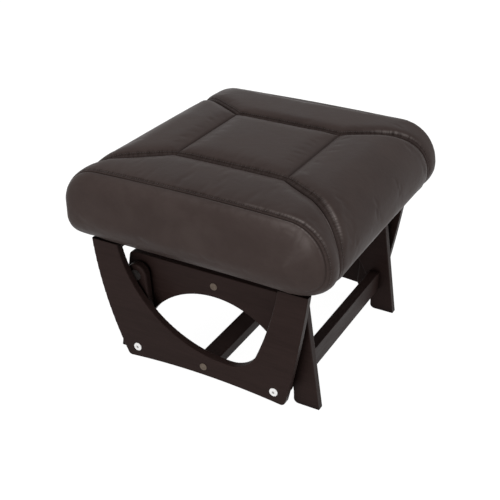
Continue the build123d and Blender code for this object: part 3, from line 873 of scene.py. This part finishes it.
def drawIn(data, size):
    # the sewn lines pulled into the surface, and the fields that the leather reads
    where = points(data)
    out = normals(data)
    fields = seamFields(where, size)
    row, side, end = fields["rowLine"], fields["sideGap"], fields["endGap"]
    # the sewn strip behind a row is broad on top and fades down the sides
    strip = np.interp(fields["run"], *size["stripFade"])
    behind = strip / (1 + np.exp(-np.maximum(row, -0.1) / size["ledgeEdge"]))
    crease = ridge(row, 0, size["crease"])
    skirt = size["skirtShare"] * ridge(row, 0, size["skirt"])
    flat = behind * np.clip((size["ledge"] * size["ledgeEnd"] - row) / size["ledge"], 0, 1)
    second = size["secondShare"] * ridge(row, size["ledge"], size["second"])
    plain = size["sideShare"] * ridge(side, 0, size["sideCrease"])
    deep = size["seamDepth"] * np.maximum(crease + skirt, plain)
    deep += size["ledgeDrop"] * (flat + second)
    gathered = ridge(row, *size["gatherBehind"]) + size["gatherShare"] * ridge(row, *size["gatherBefore"])
    deep += size["pucker"] * gathered * strip * gathers(fields["seamRun"])
    # an end seam is sewn flatter than the others
    atEnd = fields["along"] < size["endZone"]
    deep *= np.where(atEnd, size["endShare"], 1.0)
    welt = sum(share * ridge(end, 0, wide) for share, wide in size["welt"])
    deep = np.maximum(deep, size["seamDepth"] * welt)
    setPoints(data, where - out * (deep * fields["seamFade"])[:, None])
    # painted highlights on the crests beside the rows, at the listed spots
    crest = ridge(row, *size["crest"])
    crest += ridge(row, *size["outerCrest"]) * np.interp(fields["run"], *size["outerRun"])
    spots = np.zeros(len(row))
    for run, along, reach, share in size["highlightSpots"]:
        spots += share * np.exp(-((fields["run"] - run) ** 2 + (fields["along"] - along) ** 2) / reach ** 2)
    fields["crestHighlight"] = np.clip(crest * spots, 0, 1) * np.clip(fields["seamFade"] * 2, 0, 1)
    # a broad painted highlight along the end's own edge
    broad = ridge(row, *size["broadCrest"]) * atEnd
    fields["edgeWearAndPaintedLight"] = broad * np.interp(fields["run"], *size["broadRun"])
    for name in ("rowLine", "rowGap", "sideGap", "endGap", "seamRun", "seamFade", "crestHighlight", "edgeWearAndPaintedLight"):
        field = data.attributes.new(name, "FLOAT", "POINT")
        field.data.foreach_set("value", fields[name].astype(np.float32))


def wrapBoard(data, size):
    # the cover goes down round the board's edge before it turns in underneath
    where = points(data)
    past = np.abs(where[:, :2]) - size["boardHalf"]
    lip = size["boardLow"] + (np.hypot(past, size["boardTurn"]) + past) @ size["boardSlope"] / 2
    under = where[:, 2] < size["low"] + 0.03
    where[:, 2] = np.where(under, np.minimum(where[:, 2], lip), where[:, 2])
    setPoints(data, where)


def makeCushion(size):
    blank = blankCushion(size)
    remesh = blank.modifiers.new("even", "REMESH")
    remesh.mode = "VOXEL"
    remesh.voxel_size = size["voxel"]
    skin = applied(blank, "cushionSkin")
    bpy.data.objects.remove(blank)
    swell(skin, size)
    piece = newPiece("cushionSkin", skin)
    finer = piece.modifiers.new("finer", "SUBSURF")
    finer.levels = finer.render_levels = 1
    cover = applied(piece, "leatherCover")
    refineSeams(cover, size)
    drawIn(cover, size)
    wrapBoard(cover, size)
    cover.shade_smooth()
    cover.materials.clear()
    cover.materials.append(hide)
    finished = newPiece("leatherCover", cover)
    # the foam is the same form, drawn in by the leather's thickness
    filling = skin.copy()
    filling.name = "foamBlock"
    gap = nearestSeam(seamFields(points(filling), size))
    share, wide = size["foamSeam"]
    inwards = size["foamGap"] + size["seamDepth"] * share * ridge(gap, 0, wide)
    setPoints(filling, points(filling) - normals(filling) * inwards[:, None])
    filling.shade_smooth()
    filling.materials.clear()
    filling.materials.append(foam)
    block = newPiece("foamBlock", filling)
    bpy.data.objects.remove(piece)
    return finished, block


cover, foamBlock = makeCushion(cushion)
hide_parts("cushion_cover")
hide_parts("cushion_foam")
for piece, slotName in ((cover, "leather"), (foamBlock, "foam")):
    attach(piece, "seat")
print("cushion made:", len(cover.data.polygons), "faces")


# stitches and staples

def newSetting(tree, label, kind, value=None):
    socket = tree.interface.new_socket(label, in_out="INPUT", socket_type=kind)
    if value is not None:
        socket.default_value = value


def makeRepeatTree():
    # short round bars laid along a path at an even pitch, each swayed a little
    tree = bpy.data.node_groups.new("repeatAlong", "GeometryNodeTree")
    newSetting(tree, "Geometry", "NodeSocketGeometry")
    for label, value in (("Pitch", 0.0045), ("Length", 0.003), ("Width", 0.0008), ("Sway", 0.1)):
        newSetting(tree, label, "NodeSocketFloat", value)
    newSetting(tree, "Seed", "NodeSocketInt", 4)
    newSetting(tree, "Finish", "NodeSocketMaterial")
    tree.interface.new_socket("Geometry", in_out="OUTPUT", socket_type="NodeSocketGeometry")
    given = tree.nodes.new("NodeGroupInput").outputs
    path = addNode(tree, "GeometryNodeMeshToCurve")
    wire(tree, given["Geometry"], path.inputs["Mesh"])
    places = addNode(tree, "GeometryNodeCurveToPoints", mode="LENGTH")
    wire(tree, path.outputs["Curve"], places.inputs["Curve"])
    wire(tree, given["Pitch"], places.inputs["Length"])
    bar = addNode(tree, "GeometryNodeMeshCylinder")
    bar.inputs["Vertices"].default_value = 6
    bar.inputs["Side Segments"].default_value = 3
    wire(tree, times(tree, given["Width"], 0.5), bar.inputs["Radius"])
    wire(tree, given["Length"], bar.inputs["Depth"])
    # its ends are thinner, as they go down into their holes
    spot = splitAxes(tree, addNode(tree, "GeometryNodeInputPosition").outputs[0])
    share = calc(tree, "DIVIDE", calc(tree, "ABSOLUTE", spot["Z"]), given["Length"])
    thin = minus(tree, 1.12, times(tree, share, 1.4))
    shaped = addNode(tree, "ShaderNodeCombineXYZ")
    for axis in "XY":
        wire(tree, times(tree, spot[axis], thin), shaped.inputs[axis])
    wire(tree, spot["Z"], shaped.inputs["Z"])
    tapered = addNode(tree, "GeometryNodeSetPosition")
    wire(tree, bar.outputs["Mesh"], tapered.inputs["Geometry"])
    wire(tree, shaped.outputs[0], tapered.inputs["Position"])
    sway = addNode(tree, "FunctionNodeRandomValue", data_type="FLOAT_VECTOR")
    wire(tree, times(tree, given["Sway"], -1.0), sway.inputs["Min"])
    wire(tree, given["Sway"], sway.inputs["Max"])
    wire(tree, given["Seed"], sway.inputs["Seed"])
    turn = addNode(tree, "FunctionNodeEulerToRotation")
    wire(tree, sway.outputs["Value"], turn.inputs[0])
    turned = addNode(tree, "FunctionNodeRotateRotation", rotation_space="LOCAL")
    wire(tree, places.outputs["Rotation"], turned.inputs[0])
    wire(tree, turn.outputs[0], turned.inputs[1])
    laid = addNode(tree, "GeometryNodeInstanceOnPoints")
    wire(tree, places.outputs["Points"], laid.inputs["Points"])
    wire(tree, tapered.outputs["Geometry"], laid.inputs["Instance"])
    wire(tree, turned.outputs[0], laid.inputs["Rotation"])
    real = addNode(tree, "GeometryNodeRealizeInstances")
    wire(tree, laid.outputs["Instances"], real.inputs["Geometry"])
    finished = addNode(tree, "GeometryNodeSetMaterial")
    wire(tree, real.outputs["Geometry"], finished.inputs["Geometry"])
    wire(tree, given["Finish"], finished.inputs["Material"])
    wire(tree, finished.outputs["Geometry"], tree.nodes.new("NodeGroupOutput").inputs["Geometry"])
    return tree


def repeatAlong(name, tree, paths, settings):
    data = bpy.data.meshes.new(name + "Path")
    spots, edges = [], []
    for path in paths:
        first = len(spots)
        spots += path
        edges += [(first + k, first + k + 1) for k in range(len(path) - 1)]
    data.from_pydata(spots, edges, [])
    piece = newPiece(name + "Path", data)
    repeat = piece.modifiers.new("repeat", "NODES")
    repeat.node_group = tree
    for item in tree.interface.items_tree:
        if item.in_out == "INPUT" and item.name in settings:
            repeat[item.identifier] = settings[item.name]
    mesh = applied(piece, name)
    bpy.data.objects.remove(piece)
    return newPiece(name, mesh)


def fromCover(run, along, size):
    # the place on the plain form for a distance round the section and along Y
    shoulder = size["wrap"]
    level = size["high"] - size["crown"] - shoulder
    foot = level - size["low"]
    flat = size["halfX"] - shoulder
    away = abs(run)
    if away < flat:
        x, z = away, level + shoulder
    elif away < flat + shoulder * math.pi / 2:
        angle = (away - flat) / shoulder
        x, z = flat + shoulder * math.sin(angle), level + shoulder * math.cos(angle)
    else:
        angle = (away - flat - shoulder * math.pi / 2) / foot
        x, z = size["halfX"] - foot + foot * math.cos(angle), level - foot * math.sin(angle)
    return Vector((math.copysign(x, run) + size["middle"][0], along + size["middle"][1], z))


stitches = {
    "Pitch": 0.0046, "Length": 0.0032, "Width": 0.0009, "Sway": 0.08, "Seed": 11,
    "Finish": thread,
    # each row's offset from its seam, and how far down the sides it goes
    "rows": {
        "near": (cushion["ledge"], 0.31),
        "far": (cushion["ledge"] / cushion["narrowRows"], 0.31),
        "end": (cushion["ledge"] / cushion["narrowRows"], 0.34),
    },
}
staples = {
    "Pitch": 0.042, "Length": 0.0105, "Width": 0.0011, "Sway": 0.12, "Seed": 5,
    "Finish": steel,
    # how far in from the sheet's edge and below it their path lies, and its points as shares of a side
    "inside": 0.009, "proud": 0.0002, "shares": (0.03, 0.35, 0.65, 0.97),
}


def rowPath(line, offset, reach, size, surface, spacing=0.006, span=3, lift=0.00015):
    # a line on the cover beside a sewn row, as far down the sides as it is seen
    evened = []
    for (x0, y0), (x1, y1) in zip(line, line[1:]):
        count = max(1, round(math.hypot(x1 - x0, y1 - y0) / spacing))
        evened += [(x0 + (x1 - x0) * (k / count), y0 + (y1 - y0) * (k / count)) for k in range(count)]
    path = []
    for k in range(span, len(evened) - span):
        (xa, ya), (xb, yb) = evened[k - span], evened[k + span]
        length = math.hypot(xb - xa, yb - ya)
        run = evened[k][0] - (yb - ya) / length * offset
        along = evened[k][1] + (xb - xa) / length * offset
        if abs(run) < reach:
            spot, normal = surface.find_nearest(fromCover(run, along, size))[:2]
            path.append(spot + normal * lift)
    return path


repeatTree = makeRepeatTree()
surface = BVHTree.FromPolygons([vertex.co for vertex in cover.data.vertices],
                               [tuple(face.vertices) for face in cover.data.polygons])
rows = [rowPath(sewnRows[name], offset, reach, cushion, surface)
        for name, (offset, reach) in stitches["rows"].items()]
sewing = repeatAlong("coverStitches", repeatTree, rows, stitches)
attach(sewing, "seat")
print("stitches sewn:", len(sewing.data.polygons), "faces")

# the staples run round the dust cover, a little in from its edge
sheet = nodes["dust_cover"].data.vertices
lows = [min(vertex.co[axis] for vertex in sheet) for axis in range(3)]
highs = [max(vertex.co[axis] for vertex in sheet) for axis in range(3)]
inside = staples["inside"]
under = lows[2] - staples["proud"]
sides = [(lows[0] + inside, lows[1] + inside), (highs[0] - inside, lows[1] + inside),
         (highs[0] - inside, highs[1] - inside), (lows[0] + inside, highs[1] - inside)]
edgePaths = [[Vector((x0 + (x1 - x0) * t, y0 + (y1 - y0) * t, under)) for t in staples["shares"]]
             for (x0, y0), (x1, y1) in zip(sides, sides[1:] + sides[:1])]
tacks = repeatAlong("dustSheetStaples", repeatTree, edgePaths, staples)
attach(tacks, "seat")
print("staples set:", len(tacks.data.polygons), "faces")


# floor, light and camera

studio = {
    "worldLight": 0.60,
    "floorTone": 0.70, "floorSeen": 0.16, "floorGlow": 0.97, "floorReach": 9,
    # where each lamp is, where it points, its size and its power
    "lamps": {
        "keySoftbox": ((1.9, 1.3, 1.3), (0, 0, 0.35), (0.5, 0.5), 3.8),
        "topSoftbox": ((0.6, -1.0, 2.3), (0, 0, 0.3), (0.6, 0.6), 8),
        "frontSoftbox": ((0.3, -2.4, 0.9), (0, 0, 0.3), (1.4, 1.0), 19),
    },
    "cameraAt": (0.758, -1.419, 1.080),
    "cameraLooks": (-0.4195, 0.7651, -0.4885),
    "lens": 66.8,
}


def lightPathMask(tree):
    path = addNode(tree, "ShaderNodeLightPath")
    seen = larger(tree, path.outputs["Is Camera Ray"], path.outputs["Is Glossy Ray"])
    return larger(tree, seen, path.outputs["Is Transmission Ray"])


def makeFloor():
    data = bpy.data.meshes.new("floor")
    reach = studio["floorReach"]
    corners = [(x * reach, y * reach, 0) for x, y in ((-1, -1), (1, -1), (1, 1), (-1, 1))]
    data.from_pydata(corners, [], [(0, 1, 2, 3)])
    floor = newPiece("floor", data)
    material = bpy.data.materials.new("paleFloor")
    material.use_nodes = True
    tree = material.node_tree
    shader = tree.nodes["Principled BSDF"]
    # the floor lights the object as a pale one, and is seen as white with a faint shadow
    seen = lightPathMask(tree)
    tone = ramp(tree, seen, 0.0, 1.0, studio["floorTone"], studio["floorSeen"])
    wire(tree, tone, shader.inputs["Base Color"])
    shader.inputs["Roughness"].default_value = 0.9
    shader.inputs["Specular IOR Level"].default_value = 0.0
    glow = addNode(tree, "ShaderNodeEmission")
    wire(tree, times(tree, seen, studio["floorGlow"]), glow.inputs["Strength"])
    both = addNode(tree, "ShaderNodeAddShader")
    wire(tree, shader.outputs[0], both.inputs[0])
    wire(tree, glow.outputs[0], both.inputs[1])
    wire(tree, both.outputs[0], tree.nodes["Material Output"].inputs["Surface"])
    data.materials.append(material)


def makeWorld():
    world = bpy.data.worlds.new("studioAir")
    scene.world = world
    world.use_nodes = True
    tree = world.node_tree
    back = tree.nodes["Background"]
    back.inputs["Color"].default_value = (1, 1, 1, 1)
    strength = ramp(tree, lightPathMask(tree), 0.0, 1.0, studio["worldLight"], 1.0)
    wire(tree, strength, back.inputs["Strength"])


def addLamp(name, at, aim, wide, power):
    data = bpy.data.lights.new(name, "AREA")
    data.shape = "RECTANGLE"
    data.size, data.size_y = wide
    data.energy = power
    lamp = newPiece(name, data)
    lamp.location = at
    lamp.rotation_euler = (Vector(aim) - Vector(at)).to_track_quat("-Z", "Y").to_euler()


def makeCamera():
    data = bpy.data.cameras.new("photoCamera")
    data.lens = studio["lens"]
    data.sensor_width = 36
    camera = newPiece("photoCamera", data)
    camera.location = studio["cameraAt"]
    camera.rotation_euler = Vector(studio["cameraLooks"]).to_track_quat("-Z", "Y").to_euler()
    scene.camera = camera


makeFloor()
makeWorld()
for name, placed in studio["lamps"].items():
    addLamp(name, *placed)
makeCamera()
scene.view_settings.view_transform = "Standard"
print("studio set")
